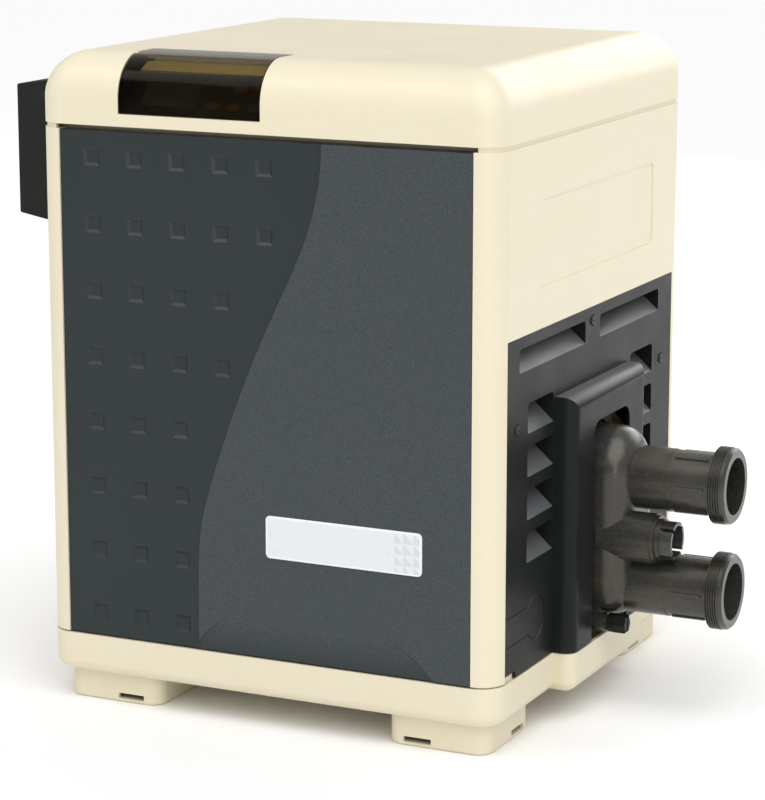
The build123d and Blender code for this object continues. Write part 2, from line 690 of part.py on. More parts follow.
def air_gas_mixer():
    x, y = BLOWER_X, BLOWER_Y
    can = rod_z(36, 424, BLOWER_LOW, x, y) - rod_z(33, 427, BLOWER_LOW + 1, x, y)
    slot = block(30, 42, -6, 6, 432, 462)
    for index in range(6):
        can -= Pos(x, y, 0) * Rot(0, 0, 30 + 45 * (index - 2)) * slot
    socket = rod_y(16, y - 52, y - 34, x, MIXER_Z)
    return can + socket - rod_y(11.1, y - 53, y - 32, x, MIXER_Z)


# ---------------------------------------------------------------- gas train
def gas_inlet():
    """Steel pipe stub with a socket outside the left wall, bored to the crests of its thread."""
    points = [(-HALF - 6, GAS_Y, GAS_Z), (VALVE_X, GAS_Y, GAS_Z), (VALVE_X, GAS_Y, 250)]
    stub = pipe(points, 13.3, [22], 3.0)
    socket = rod_x(16.5, -HALF - 26, -HALF - 2, GAS_Y, GAS_Z)
    socket -= rod_x(GAS_SOCKET_R, -HALF - 27, -HALF - 8, GAS_Y, GAS_Z)
    socket -= rod_x(10.3, -HALF - 20, -HALF, GAS_Y, GAS_Z)
    return stub + socket


def gas_grommet():
    ring = slab_x(disc(GAS_Y, GAS_Z, 22) - disc(GAS_Y, GAS_Z, 13.3), -HALF - 2, -HALF)
    ring += slab_x(disc(GAS_Y, GAS_Z, 18) - disc(GAS_Y, GAS_Z, 13.3), -HALF, -HALF + WALL)
    return ring


def gas_valve():
    body = block(VALVE_X - 30, VALVE_X + 30, GAS_Y - 25, GAS_Y + 25, 250, 330)
    body = fillet(body.edges().filter_by(Axis.Z), 5)
    body += rod_z(17, 326, 342, VALVE_X, GAS_Y) + rod_y(20, GAS_Y + 20, GAS_Y + 38, VALVE_X, 300)
    body += rod_y(9, GAS_Y - 30, GAS_Y - 20, VALVE_X, 300)
    body -= rod_z(11, 249, 343, VALVE_X, GAS_Y)
    return body - rod_y(3.06, GAS_Y - 31, GAS_Y - 19, VALVE_X, 300)


def gas_valve_knob():
    grip = rod_y(16, GAS_Y - 43, GAS_Y - 30.4, VALVE_X, 300)
    grip += block(VALVE_X - 3, VALVE_X + 3, GAS_Y - 52, GAS_Y - 42, 286, 314)
    return grip + rod_y(3.0, GAS_Y - 31, GAS_Y - 20, VALVE_X, 300)


def gas_pipe():
    y_end = BLOWER_Y - 34
    points = [
        (VALVE_X, GAS_Y, 331),
        (VALVE_X, GAS_Y, MIXER_Z),
        (BLOWER_X, GAS_Y, MIXER_Z),
        (BLOWER_X, y_end, MIXER_Z),
    ]
    return pipe(points, 11.0, [30, 30], 1.5)


# ------------------------------------------------------------- electrics
def electrics_panel():
    """Sheet-metal bracket behind the right corner post."""
    sheet = block(110, 259, -230, -228, 440, 592)
    sheet += block(257, 259, -230, -205, 440, 592)
    return fillet(sheet.edges().filter_by(Axis.Y).sort_by(Axis.X)[:2], 8)


def ignition_module():
    return chamfer(block(125, 195, -228, -200, 455, 575).edges().filter_by(Axis.Y), 3)


def transformer():
    core = block(206, 252, -228, -196, 520, 570)
    coil = block(212, 246, -204, -182, 526, 564)
    return core + fillet(coil.edges().filter_by(Axis.Y), 5)


def igniter():
    x = TUB_X - 80
    stem = rod_z(5, 240, TUB_TOP + 30, x, TUB_Y)
    plate = block(x - 16, x + 16, TUB_Y - 10, TUB_Y + 10, TUB_TOP + 4, TUB_TOP + 7)
    hexagon = slab_z(Pos(x, TUB_Y) * RegularPolygon(9, 6), TUB_TOP + 7, TUB_TOP + 15)
    return stem + plate + hexagon


def air_flow_switch():
    body = rod_y(32, 236, 259.3, 150, 480)
    return body + rod_y(20, 228, 237, 150, 480) + rod_y(4, 214, 229, 150, 480)


def pressure_switch():
    x, y = 226.0, SIDE_CENTRE + 18
    body = rod_z(7, 316, 322, x, y) + slab_z(Pos(x, y) * RegularPolygon(11, 6), 322, 332)
    return body + rod_z(13, 332, 348, x, y)


def junction_box():
    box = block(-257, -215, POWER_Y - 40, POWER_Y + 40, POWER_Z - 40, POWER_Z + 40)
    box -= block(-254.5, -217.5, POWER_Y - 37, POWER_Y + 37, POWER_Z - 37, POWER_Z + 37)
    return box - rod_x(14.2, -260, -250, POWER_Y, POWER_Z)


def conduit_gland():
    gland = rod_x(14.0, -HALF - 12, -250, POWER_Y, POWER_Z)
    hexagon = slab_x(Pos(POWER_Y, POWER_Z) * RegularPolygon(20, 6), -HALF - 6, -HALF)
    lock = slab_x(Pos(POWER_Y, POWER_Z) * RegularPolygon(19, 6), -254.5, -250.5)
    return gland + hexagon + lock - rod_x(10.6, -HALF - 13, -249, POWER_Y, POWER_Z)


# ------------------------------------------------------------ water manifold
FLANGE_X = 241.0
SHOULDER_X = 285.0
FACE_X = 320.0


def stadium(z0, z1, half):
    """Upright oval, drawn in (Y, Z)."""
    height = z1 - z0
    return Pos(SIDE_CENTRE, (z0 + z1) / 2) * Rot(0, 0, 90) * SlotOverall(height, 2 * half)


FLANGE_BOLTS = [(SIDE_CENTRE + side * 53.8, z) for side in (-1, 1) for z in (112, 193, 288)]


def manifold():
    wide = stadium(97, 302, 47)
    body = slab_x(wide, FLANGE_X, FACE_X)
    body = fillet(body.faces().sort_by(Axis.X)[-1].edges(), 27)
    body += slab_x(round_rect(SIDE_CENTRE - 62, SIDE_CENTRE + 62, 84, 316, 14), FLANGE_X, FLANGE_X + 9)
    for z in (OUTLET_Z, INLET_Z):
        body += rod_x(NIPPLE_R + 0.6, SHOULDER_X, NECK_END, SIDE_CENTRE, z)
    body += rod_x(27, SHOULDER_X + 2, BOSS_END - 4, BOSS_Y, BOSS_Z)
    body += rod_x(25.5, BOSS_END - 5, BOSS_END, BOSS_Y, BOSS_Z)
    body += rod_x(10, FLANGE_X, 294, DRAIN_Y, DRAIN_Z)
    body += block(FLANGE_X, 288, DRAIN_Y - 8, DRAIN_Y + 10, DRAIN_Z, 125)
    for z in (OUTLET_Z, INLET_Z):
        body -= rod_x(27, FLANGE_X - 1, NECK_END + 1, SIDE_CENTRE, z)
    body -= rod_z(15, INLET_Z, OUTLET_Z, 270, SIDE_CENTRE)
    body -= rod_x(20, 262, BOSS_END + 1, BOSS_Y, BOSS_Z)
    body -= rod_x(5, 255, 295, DRAIN_Y, DRAIN_Z)
    for y, z in FLANGE_BOLTS:
        body -= rod_x(3.2, FLANGE_X - 1, FLANGE_X + 10, y, z)
    return body


def nipple(z):
    """Port nipple with grip bars, a threaded collar and stop nibs inside."""
    body = rod_x(NIPPLE_R, NECK_END, NIPPLE_END, SIDE_CENTRE, z)
    ridge = 2.6
    for index in range(5):
        x = COLLAR_START + ridge * index
        body += rod_x(COLLAR_R - 2.2, x, x + ridge, SIDE_CENTRE, z)
        body += rod_x(COLLAR_R, x + 0.5, x + 1.6, SIDE_CENTRE, z)
    rim = rod_x(COLLAR_R - 0.8, COLLAR_START + 5 * ridge, NIPPLE_END, SIDE_CENTRE, z)
    body += chamfer(rim.faces().sort_by(Axis.X)[-1].edges(), 2.4)
    for index in range(6):
        bar = Pos((NECK_END + COLLAR_START) / 2, 0, NIPPLE_R + 0.3) * Box(36, 3.2, 2.6)
        body += Pos(0, SIDE_CENTRE, z) * Rot(30 + 60 * index, 0, 0) * bar
    body -= rod_x(PORT_BORE_R, PORT_STOP, NIPPLE_END + 1, SIDE_CENTRE, z)
    body -= rod_x(27, NECK_END - 1, PORT_STOP + 1, SIDE_CENTRE, z)
    return body


def water_seals():
    rings = [slab_x(disc(DRAIN_Y, DRAIN_Z, 8.5) - disc(DRAIN_Y, DRAIN_Z, 5.3), 294, 296.2)]
    for z in (OUTLET_Z, INLET_Z):
        ring = disc(SIDE_CENTRE, z, 36) - disc(SIDE_CENTRE, z, 29)
        rings.append(slab_x(ring, HEADER_X1, FLANGE_X))
    return Compound(children=rings)


def manifold_bolts():
    bolts = []
    for y, z in FLANGE_BOLTS:
        head = slab_x(Pos(y, z) * RegularPolygon(6.2, 6), FLANGE_X + 9, FLANGE_X + 14)
        bolts.append(head + rod_x(3.1, HEADER_X1, FLANGE_X + 9, y, z))
    return Compound(children=bolts)


def bypass_cap():
    """Clip-in cap over the bypass valve, with four spring tabs."""
    x = BOSS_END
    cap = rod_x(22, x, x + 5, BOSS_Y, BOSS_Z) + rod_x(19.7, x - 8, x, BOSS_Y, BOSS_Z)
    cap -= rod_x(14, x - 9, x - 3, BOSS_Y, BOSS_Z)
    tabs = slab_x(disc(BOSS_Y, BOSS_Z, 20.5) - disc(BOSS_Y, BOSS_Z, 16.5), x + 5, x + 19)
    for turn in (0, 90):
        gap = Pos(x + 14, BOSS_Y, BOSS_Z) * Rot(45 + turn, 0, 0) * Box(20, 4.5, 60)
        tabs -= gap
    cap += tabs
    return cap - rod_x(10, x + 2, x + 6, BOSS_Y, BOSS_Z)


def bypass_poppet():
    head = rod_x(19.7, 296, 302, BOSS_Y, BOSS_Z)
    return head + rod_x(4, 302, 322, BOSS_Y, BOSS_Z)


SPRING_START = 304.0
SPRING_END = 343.0


def bypass_spring():
    turns = Helix(pitch=6.2, height=SPRING_END - SPRING_START, radius=11)
    wire = sweep(Plane(origin=turns @ 0, z_dir=turns % 0) * Circle(1.0), path=turns, is_frenet=True)
    return Pos(SPRING_START, BOSS_Y, BOSS_Z) * Rot(0, 90, 0) * wire


def drain_plug():
    """Hand-turned plug with a hexagonal head and a coin slot."""
    stem = rod_x(4.95, 272, 297, DRAIN_Y, DRAIN_Z)
    collar = rod_x(10, 296.5, 303, DRAIN_Y, DRAIN_Z)
    head = slab_x(Pos(DRAIN_Y, DRAIN_Z) * RegularPolygon(10.5, 6), 303, 317)
    head = chamfer(head.faces().sort_by(Axis.X)[-1].edges(), 1.2)
    slot = block(314, 318, DRAIN_Y - 1.5, DRAIN_Y + 1.5, DRAIN_Z - 12, DRAIN_Z + 12)
    return stem + collar + head - slot


def window_hinge_pin():
    return rod_x(PIN_R, WINDOW_X0 - 6, WINDOW_X1 + 6, PIN_Y, PIN_Z)


def push_button(x, v):
    cap = on_keypad(Pos(x, v) * button_shape(0), -4.0, 1.8)
    outward = Axis(KEYPAD.origin, KEYPAD.z_dir)
    return fillet(cap.faces().sort_by(outward)[-1].edges(), 0.7)


PARTS = {
    "base_feet": base_feet,
    "base_pan": base_pan,
    "side_panel_right": side_panel_right,
    "side_panel_left": side_panel_left,
    "rear_panel": rear_panel,
    "top_frame": top_frame,
    "lid": lid,
    "display_window": display_window,
    "window_hinge_pin": window_hinge_pin,
    "control_bezel": control_bezel,
    "display_lens": display_lens,
    "control_board": control_board,
    "front_door": front_door,
    "door_badge": door_badge,
    "side_vent_panel": side_vent_panel,
    "vent_panel_screws": vent_panel_screws,
    "exhaust_hood": exhaust_hood,
    "hood_screws": hood_screws,
    "flue_duct": flue_duct,
    "combustion_tub": combustion_tub,
    "tub_insulation": tub_insulation,
    "tub_lid": tub_lid,
    "coil_tubes": coil_tubes,
    "water_header": water_header,
    "burner": burner,
    "blower_housing": blower_housing,
    "blower_impeller": blower_impeller,
    "blower_motor": blower_motor,
    "air_gas_mixer": air_gas_mixer,
    "gas_inlet": gas_inlet,
    "gas_grommet": gas_grommet,
    "gas_valve": gas_valve,
    "gas_valve_knob": gas_valve_knob,
    "gas_pipe": gas_pipe,
    "electrics_panel": electrics_panel,
    "ignition_module": ignition_module,
    "transformer": transformer,
    "igniter": igniter,
    "air_flow_switch": air_flow_switch,
    "pressure_switch": pressure_switch,
    "junction_box": junction_box,
    "conduit_gland": conduit_gland,
    "manifold": manifold,
    "water_seals": water_seals,
    "manifold_bolts": manifold_bolts,
    "bypass_cap": bypass_cap,
    "bypass_poppet": bypass_poppet,
    "bypass_spring": bypass_spring,
    "drain_plug": drain_plug,
}


os.makedirs("parts", exist_ok=True)
for part_name, build in PARTS.items():
    save(part_name, build())
for part_name, (x, v) in BUTTONS.items():
    save(part_name, push_button(x, v))
save("outlet_nipple", nipple(OUTLET_Z))
save("inlet_nipple", nipple(INLET_Z))
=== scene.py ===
import json
import math

import bmesh
import bpy
from mathutils import Matrix, Vector


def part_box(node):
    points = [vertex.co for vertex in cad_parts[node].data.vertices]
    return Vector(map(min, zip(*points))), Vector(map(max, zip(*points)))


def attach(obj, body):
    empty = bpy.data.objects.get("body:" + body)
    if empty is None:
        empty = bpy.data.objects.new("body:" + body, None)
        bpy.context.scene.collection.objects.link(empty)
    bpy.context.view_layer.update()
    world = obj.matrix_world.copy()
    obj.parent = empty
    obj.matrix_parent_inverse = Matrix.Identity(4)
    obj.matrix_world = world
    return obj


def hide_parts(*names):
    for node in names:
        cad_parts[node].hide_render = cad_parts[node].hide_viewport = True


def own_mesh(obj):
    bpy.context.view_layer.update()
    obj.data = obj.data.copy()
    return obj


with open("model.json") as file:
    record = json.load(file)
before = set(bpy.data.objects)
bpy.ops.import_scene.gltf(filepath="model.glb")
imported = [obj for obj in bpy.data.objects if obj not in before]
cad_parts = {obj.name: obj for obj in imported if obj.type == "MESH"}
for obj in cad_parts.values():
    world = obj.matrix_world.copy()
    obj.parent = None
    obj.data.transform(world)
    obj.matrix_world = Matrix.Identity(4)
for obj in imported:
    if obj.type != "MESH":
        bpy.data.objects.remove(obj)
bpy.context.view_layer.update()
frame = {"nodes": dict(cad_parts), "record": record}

# Lengths are in metres and angles in degrees.

scene = bpy.context.scene
nodes = frame["nodes"]


# ---------------------------------------------------------------- materials

NOISE_LOW, NOISE_HIGH = 0.25, 0.75  # nearly all of a noise texture lies between these
ACRYLIC_IOR = 1.49
SPECKS_FINER, GRAIN_FINER = 7, 12  # how much finer a metal's specks and grain are than its patches


def set_sockets(node, values):
    """Sets a node's inputs. A socket's name is written with _ for each space."""
    for name, value in values.items():
        node.inputs[name.replace("_", " ")].default_value = value


class Finish:
    """A procedural material, in the object's own coordinates."""

    def __init__(self, name, colour, roughness=0.5, metallic=0.0, **sockets):
        self.material = bpy.data.materials.new(name)
        self.material.use_nodes = True
        self.tree = self.material.node_tree
        self.shader = self.tree.nodes["Principled BSDF"]
        set_sockets(self.shader, {"Base_Color": (*colour, 1), "Roughness": roughness, "Metallic": metallic})
        set_sockets(self.shader, sockets)
        self.place = self.node("TexCoord").outputs["Object"]
        self.colour = None
        self.normal = None

    def node(self, kind, **sockets):
        node = self.tree.nodes.new("ShaderNode" + kind)
        set_sockets(node, sockets)
        return node

    def link(self, source, target):
        self.tree.links.new(source, target)

    def stretched(self, scale):
        """The object's coordinates, scaled along each axis."""
        node = self.node("Mapping", Scale=scale)
        self.link(self.place, node.inputs["Vector"])
        return node.outputs["Vector"]

    def noise(self, scale, detail, roughness, stretch=None, distortion=0.0):
        """Cloudy noise around 0.5. The scale is in waves per metre."""
        node = self.node("TexNoise", Scale=scale, Detail=detail, Roughness=roughness, Distortion=distortion)
        self.link(self.stretched(stretch) if stretch else self.place, node.inputs["Vector"])
        return node.outputs["Fac"]

    def cells(self, scale):
        """Distance from the middle of each of many irregular cells."""
        node = self.node("TexVoronoi", Scale=scale)
        self.link(self.place, node.inputs["Vector"])
        return node.outputs["Distance"]

    def axis(self, letter):
        node = self.node("SeparateXYZ")
        self.link(self.place, node.inputs[0])
        return node.outputs[letter]

    def facing_up(self):
        """1 on a face that looks straight up, 0 on an upright one."""
        node = self.node("SeparateXYZ")
        self.link(self.node("NewGeometry").outputs["True Normal"], node.inputs[0])
        return node.outputs["Z"]

    def span(self, fac, low, high, to_low=0.0, to_high=1.0):
        """Takes fac from the range low to high to another one, and holds it within that."""
        node = self.node("MapRange", From_Min=low, From_Max=high, To_Min=to_low, To_Max=to_high)
        self.link(fac, node.inputs["Value"])
        return node.outputs["Result"]

    def maths(self, operation, *values):
        """A Math node on numbers or other nodes' outputs."""
        node = self.node("Math")
        node.operation = operation
        for socket, value in zip(node.inputs, values):
            if isinstance(value, (int, float)):
                socket.default_value = value
            else:
                self.link(value, socket)
        return node.outputs[0]

    def tint(self, fac, colour, amount):
        """Lays a colour over what is there, where fac is high."""
        node = self.node("Mix")
        node.data_type = "RGBA"
        base = self.shader.inputs["Base Color"]
        if self.colour is None:
            node.inputs["A"].default_value = base.default_value
        else:
            self.link(self.colour, node.inputs["A"])
        node.inputs["B"].default_value = (*colour, 1)
        self.link(self.maths("MULTIPLY", fac, amount), node.inputs["Factor"])
        self.colour = node.outputs["Result"]
        self.link(self.colour, base)

    def rough(self, fac, low, high):
        """Lets the roughness wander from low to high with a noise."""
        self.link(self.span(fac, NOISE_LOW, NOISE_HIGH, low, high), self.shader.inputs["Roughness"])

    def bump(self, height, distance, strength):
        """Adds relief on top of the relief that is there."""
        node = self.node("Bump", Distance=distance, Strength=strength)
        self.link(height, node.inputs["Height"])
        if self.normal is not None:
            self.link(self.normal, node.inputs["Normal"])
        self.normal = node.outputs["Normal"]
        self.link(self.normal, self.shader.inputs["Normal"])


def cream_plastic():
    """The mottled jacket, darker and browner in patches towards the ground."""
    low_darkening_height = 0.10
    look = Finish("cream_plastic", (0.775, 0.703, 0.522), Coat_Weight=0.10, Coat_Roughness=0.30)
    look.tint(look.noise(5, 4, 0.6), (0.805, 0.735, 0.560), 0.55)
    look.tint(look.span(look.noise(420, 2, 0.6), 0.60, 0.75), (0.745, 0.665, 0.485), 0.25)
    look.tint(look.span(look.noise(60, 5, 0.7), 0.62, 0.80), (0.725, 0.640, 0.460), 0.18)
    # Darker, browner patches in the lowest ten centimetres, fading out upwards.
    low_darkening = look.maths("MULTIPLY", look.span(look.axis("Z"), low_darkening_height, 0.0), look.noise(30, 4, 0.7))
    look.tint(low_darkening, (0.56, 0.47, 0.33), 0.30)
    look.rough(look.noise(14, 4, 0.6), 0.34, 0.48)
    look.bump(look.noise(1400, 2, 0.5), 0.00012, 0.35)
    look.bump(look.noise(26, 2, 0.5), 0.0007, 0.10)
    return look


def door_plastic():
    """Dark green-black plastic, whose raised zone is paler and grained."""
    raised_from, raised_to = 0.0024, 0.0007  # depths behind the door's foremost point
    look = Finish("door_plastic", (0.019, 0.027, 0.029), Specular_IOR_Level=0.26)
    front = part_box("front_door")[0].y
    raised = look.span(look.axis("Y"), front + raised_from, front + raised_to)
    look.tint(look.noise(4, 3, 0.5), (0.026, 0.034, 0.034), 0.6)
    look.tint(raised, (0.055, 0.066, 0.070), 0.85)
    grain = look.noise(620, 3, 0.65)
    speck = look.maths("MULTIPLY", look.span(grain, 0.50, 0.72), raised)
    look.tint(speck, (0.085, 0.097, 0.103), 0.5)
    dark = look.maths("MULTIPLY", look.span(grain, 0.50, 0.30), raised)
    look.tint(dark, (0.014, 0.019, 0.022), 0.50)
    look.tint(look.span(look.noise(36, 6, 0.75), 0.62, 0.80), (0.060, 0.064, 0.062), 0.20)
    look.rough(look.noise(10, 4, 0.6), 0.20, 0.30)
    look.bump(look.maths("MULTIPLY", grain, raised), 0.00025, 0.35)
    look.bump(look.noise(1500, 2, 0.5), 0.00008, 0.25)
    return look


def textured(name, colour, light, dark, roughness, scale, depth, **sockets):
    """A moulded plastic with a fine spark-eroded texture."""
    look = Finish(name, colour, **sockets)
    grain = look.noise(scale, 3, 0.7)
    look.tint(look.noise(6, 4, 0.6), light, 0.35)
    look.tint(look.span(grain, 0.55, 0.75), light, 0.55)
    look.tint(look.span(grain, 0.45, 0.28), dark, 0.45)
    look.tint(look.span(look.noise(40, 6, 0.75), 0.60, 0.80), light, 0.30)
    look.rough(look.noise(18, 4, 0.6), *roughness)
    look.bump(grain, depth, 0.4)
    return look


def panel_plastic():
    """Dark textured plastic, with a painted sheen: paler on the faces that look up."""
    look = textured(
        "panel_plastic", (0.0105, 0.0125, 0.0120), light=(0.024, 0.027, 0.0255), dark=(0.006, 0.007, 0.007),
        roughness=(0.30, 0.42), scale=520, depth=0.0002, Specular_IOR_Level=0.11)
    # Painted sheen: faces that look up are tinted pale, as if lit from above.
    look.tint(look.span(look.facing_up(), 0.35, 0.75), (0.150, 0.155, 0.162), 0.75)
    return look


def glass_filled():
    """Black glass-filled nylon: fibres give it a brownish, mottled shine. Its brown flow streaks are partly
    its own tint and partly a painted warm reflection.
    """
    look = Finish("glass_filled", (0.026, 0.0255, 0.023), Specular_IOR_Level=0.65,
                  Specular_Tint=(1.0, 0.96, 0.86, 1))
    flow_and_reflection = look.noise(24, 6, 0.70, stretch=(1.0, 2.2, 2.2), distortion=0.9)
    # Brown flow streaks: partly the nylon's own tint, partly a painted warm reflection of the cream panel.
    look.tint(look.span(flow_and_reflection, 0.50, 0.70), (0.062, 0.047, 0.020), 0.60)
    look.tint(look.span(look.noise(9, 4, 0.6), 0.45, 0.65), (0.050, 0.053, 0.053), 0.6)
    fibre = look.noise(620, 4, 0.75, stretch=(0.5, 1.0, 1.0))
    look.tint(look.span(fibre, 0.54, 0.72), (0.150, 0.130, 0.085), 0.40)
    look.rough(look.noise(70, 5, 0.7), 0.14, 0.30)
    look.bump(fibre, 0.0003, 0.40)
    look.bump(flow_and_reflection, 0.0014, 0.22)
    return look


def smoked_window():
    """Tinted clear plastic. The dark specular tint leaves reflections only at low angles."""
    look = Finish("smoked_window", (0.50, 0.44, 0.28), IOR=ACRYLIC_IOR, Transmission_Weight=1.0,
                  Specular_Tint=(0.04, 0.04, 0.04, 1))
    look.tint(look.span(look.noise(9, 3, 0.5), 0.40, 0.70), (0.54, 0.48, 0.31), 0.5)
    look.rough(look.noise(40, 5, 0.7), 0.02, 0.05)
    look.bump(look.noise(14, 2, 0.5), 0.0004, 0.05)
    return look


def clear_lens():
    """The display's dark lens, seen unlit."""
    look = Finish("clear_lens", (0.020, 0.026, 0.020), IOR=ACRYLIC_IOR, Transmission_Weight=0.30,
                  Specular_IOR_Level=0.2)
    look.tint(look.noise(120, 2, 0.5), (0.028, 0.036, 0.027), 0.5)
    look.rough(look.noise(90, 3, 0.6), 0.10, 0.20)
    return look


def circuit_board():
    """Green lacquer with streaks for tracks and pale dots for solder."""
    look = Finish("circuit_board", (0.018, 0.13, 0.055))
    tracks = look.noise(260, 1, 0.3, stretch=(1.0, 0.15, 1.0))
    look.tint(look.span(tracks, 0.52, 0.56), (0.03, 0.20, 0.085), 0.8)
    look.tint(look.span(look.cells(240), 0.22, 0.14), (0.62, 0.60, 0.52), 0.9)
    look.rough(look.noise(40, 3, 0.6), 0.25, 0.40)
    look.bump(tracks, 0.0001, 0.4)
    return look


def insulation():
    """A tufted fibre blanket."""
    look = Finish("insulation", (0.72, 0.70, 0.64), Sheen_Weight=0.3, Sheen_Roughness=0.6)
    tuft = look.noise(130, 6, 0.8, distortion=1.5)
    look.tint(look.span(tuft, 0.35, 0.65), (0.60, 0.57, 0.49), 0.7)
    look.rough(tuft, 0.85, 0.98)
    look.bump(tuft, 0.002, 0.8)
    return look


def seal_rubber():
    """Matt black rubber with a greyish bloom."""
    look = Finish("seal_rubber", (0.016, 0.016, 0.016))
    bloom = look.noise(45, 5, 0.7)
    look.tint(look.span(bloom, 0.50, 0.75), (0.055, 0.055, 0.052), 0.6)
    look.rough(bloom, 0.62, 0.80)
    look.bump(look.noise(700, 3, 0.6), 0.0002, 0.4)
    return look


def badge_plate():
    """Silvery printed plate: paler border, and a plain grid of grey triangles at its right end."""
    grid_pitch, grid_length, border = 0.0115, 0.030, 0.0022
    look = Finish("badge_plate", (0.72, 0.755, 0.78), Coat_Weight=0.4, Coat_Roughness=0.10)
    look.tint(look.noise(700, 2, 0.6, stretch=(0.05, 1.0, 1.0)), (0.76, 0.79, 0.81), 0.5)

    low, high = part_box("door_badge")
    x, z = look.axis("X"), look.axis("Z")
    rising = look.maths("FRACT", look.maths("DIVIDE", look.maths("ADD", x, z), grid_pitch))
    across = look.maths("FRACT", look.maths("DIVIDE", x, grid_pitch))
    triangles = look.maths("GREATER_THAN", rising, across)
    at_end = look.maths("GREATER_THAN", x, high.x - grid_length)
    look.tint(look.maths("MULTIPLY", triangles, at_end), (0.60, 0.625, 0.645), 0.75)

    inside = 1.0
    for sense, value, edge in (
        ("GREATER_THAN", x, low.x + border), ("LESS_THAN", x, high.x - border),
        ("GREATER_THAN", z, low.z + border), ("LESS_THAN", z, high.z - border),
    ):
        inside = look.maths("MULTIPLY", look.maths(sense, value, edge), inside)
    look.tint(look.maths("SUBTRACT", 1.0, inside), (0.86, 0.88, 0.89), 0.9)
    look.rough(look.noise(30, 3, 0.6), 0.24, 0.34)
    look.bump(look.noise(420, 2, 0.5), 0.00006, 0.2)
    return look


def metal(name, colour, patches, roughness, scale, depth=0.0001, metallic=1.0):
    """A metal with soft patches and fine specks of a second colour."""
    look = Finish(name, colour, metallic=metallic)
    cloud = look.noise(scale, 5, 0.65)
    look.tint(look.span(cloud, 0.40, 0.70), patches, 0.6)
    look.tint(look.span(look.noise(scale * SPECKS_FINER, 3, 0.7), 0.60, 0.78), patches, 0.5)
    look.rough(cloud, *roughness)
    look.bump(look.noise(scale * GRAIN_FINER, 3, 0.6), depth, 0.3)
    return look


def galvanised():
    """Zinc-coated sheet with its spangle."""
    look = Finish("galvanised", (0.56, 0.57, 0.58), metallic=0.9)
    flakes = look.cells(95)
    look.tint(look.span(flakes, 0.2, 0.9), (0.40, 0.42, 0.44), 0.6)
    look.tint(look.noise(12, 5, 0.7), (0.47, 0.48, 0.49), 0.6)
    look.rough(flakes, 0.32, 0.50)
    look.bump(flakes, 0.0001, 0.25)
    return look


def copper():
    """Copper with darker tarnish."""
    look = metal("copper", (0.72, 0.36, 0.20), patches=(0.36, 0.17, 0.10), roughness=(0.24, 0.42), scale=34)
    look.tint(look.span(look.noise(16, 5, 0.7), 0.58, 0.72), (0.20, 0.16, 0.15), 0.6)
    return look


FINISHES = {
    "cream_plastic": cream_plastic(),
    "door_plastic": door_plastic(),
    "panel_plastic": panel_plastic(),
    "hood_plastic": textured(
        "hood_plastic", (0.011, 0.0115, 0.010), light=(0.027, 0.027, 0.024), dark=(0.006, 0.006, 0.0055),
        roughness=(0.50, 0.66), scale=380, depth=0.0002, Specular_IOR_Level=0.18),
    "black_screw": metal(
        "black_screw", (0.030, 0.031, 0.033), patches=(0.060, 0.060, 0.060),
        roughness=(0.36, 0.50), scale=160, metallic=0.5),
    "smoked_window": smoked_window(),
    "badge_plate": badge_plate(),
    "glass_filled": glass_filled(),
    "black_plastic": textured(
        "black_plastic", (0.0055, 0.0055, 0.0050), light=(0.012, 0.012, 0.011), dark=(0.003, 0.003, 0.003),
        roughness=(0.38, 0.54), scale=700, depth=0.0001, Specular_IOR_Level=0.18),
    "button_plastic": textured(
        "button_plastic", (0.060, 0.032, 0.011), light=(0.080, 0.042, 0.015), dark=(0.040, 0.021, 0.008),
        roughness=(0.55, 0.70), scale=800, depth=0.0001, Specular_IOR_Level=0.15),
    "clear_lens": clear_lens(),
    "circuit_board": circuit_board(),
    "steel": metal(
        "steel", (0.50, 0.50, 0.49), patches=(0.30, 0.30, 0.30), roughness=(0.28, 0.46), scale=90),
    "galvanised": galvanised(),
    "copper": copper(),
    "brass": metal(
        "brass", (0.72, 0.53, 0.22), patches=(0.42, 0.28, 0.11), roughness=(0.26, 0.42), scale=120),
    "cast_aluminium": metal(
        "cast_aluminium", (0.52, 0.53, 0.54), patches=(0.38, 0.39, 0.40),
        roughness=(0.45, 0.62), scale=130, depth=0.0004),
    "cast_iron": metal(
        "cast_iron", (0.055, 0.055, 0.058), patches=(0.10, 0.07, 0.055),
        roughness=(0.55, 0.75), scale=110, depth=0.0006, metallic=0.3),
    "insulation": insulation(),
    "seal_rubber": seal_rubber(),
    "gas_black_steel": metal(
        "gas_black_steel", (0.030, 0.030, 0.032), patches=(0.075, 0.065, 0.055),
        roughness=(0.34, 0.52), scale=90, metallic=0.4),
    "red_plastic": textured(
        "red_plastic", (0.42, 0.022, 0.016), light=(0.52, 0.045, 0.03), dark=(0.28, 0.012, 0.01),
        roughness=(0.34, 0.48), scale=700, depth=0.0001),
}

for part in frame["record"]["subparts"]:
    mesh = nodes[part["node"]].data
    mesh.materials.clear()
    mesh.materials.append(FINISHES[part["material_slot"]].material)


# ---------------------------------------------------------------- small moulded details

PORT_BORE = 0.0302  # radius
NIB_LENGTH, NIB_WIDTH, NIB_HEIGHT = 0.009, 0.0036, 0.0018
NIB_ROOT = 0.0008  # how far a nib runs into the wall
NIB_INSET = 0.006  # how far its near end is from the mouth of the port
NIB_ROUND = 0.0005
FIRST_NIB, NIB_COUNT = 20, 4  # the first one's angle from straight up

EDGE_ROUNDS = {"side_vent_panel": 0.0006, "exhaust_hood": 0.0005}
WELD_DISTANCE = 0.00001
FLAT_ANGLE = 0.5  # faces that meet at less than this are merged
SHARP_ANGLE = 28  # edges where they meet at more than this are rounded
ROUND_SEGMENTS = 2


def new_object(name, data):
    made = bpy.data.objects.new(name, data)
    scene.collection.objects.link(made)
    return made


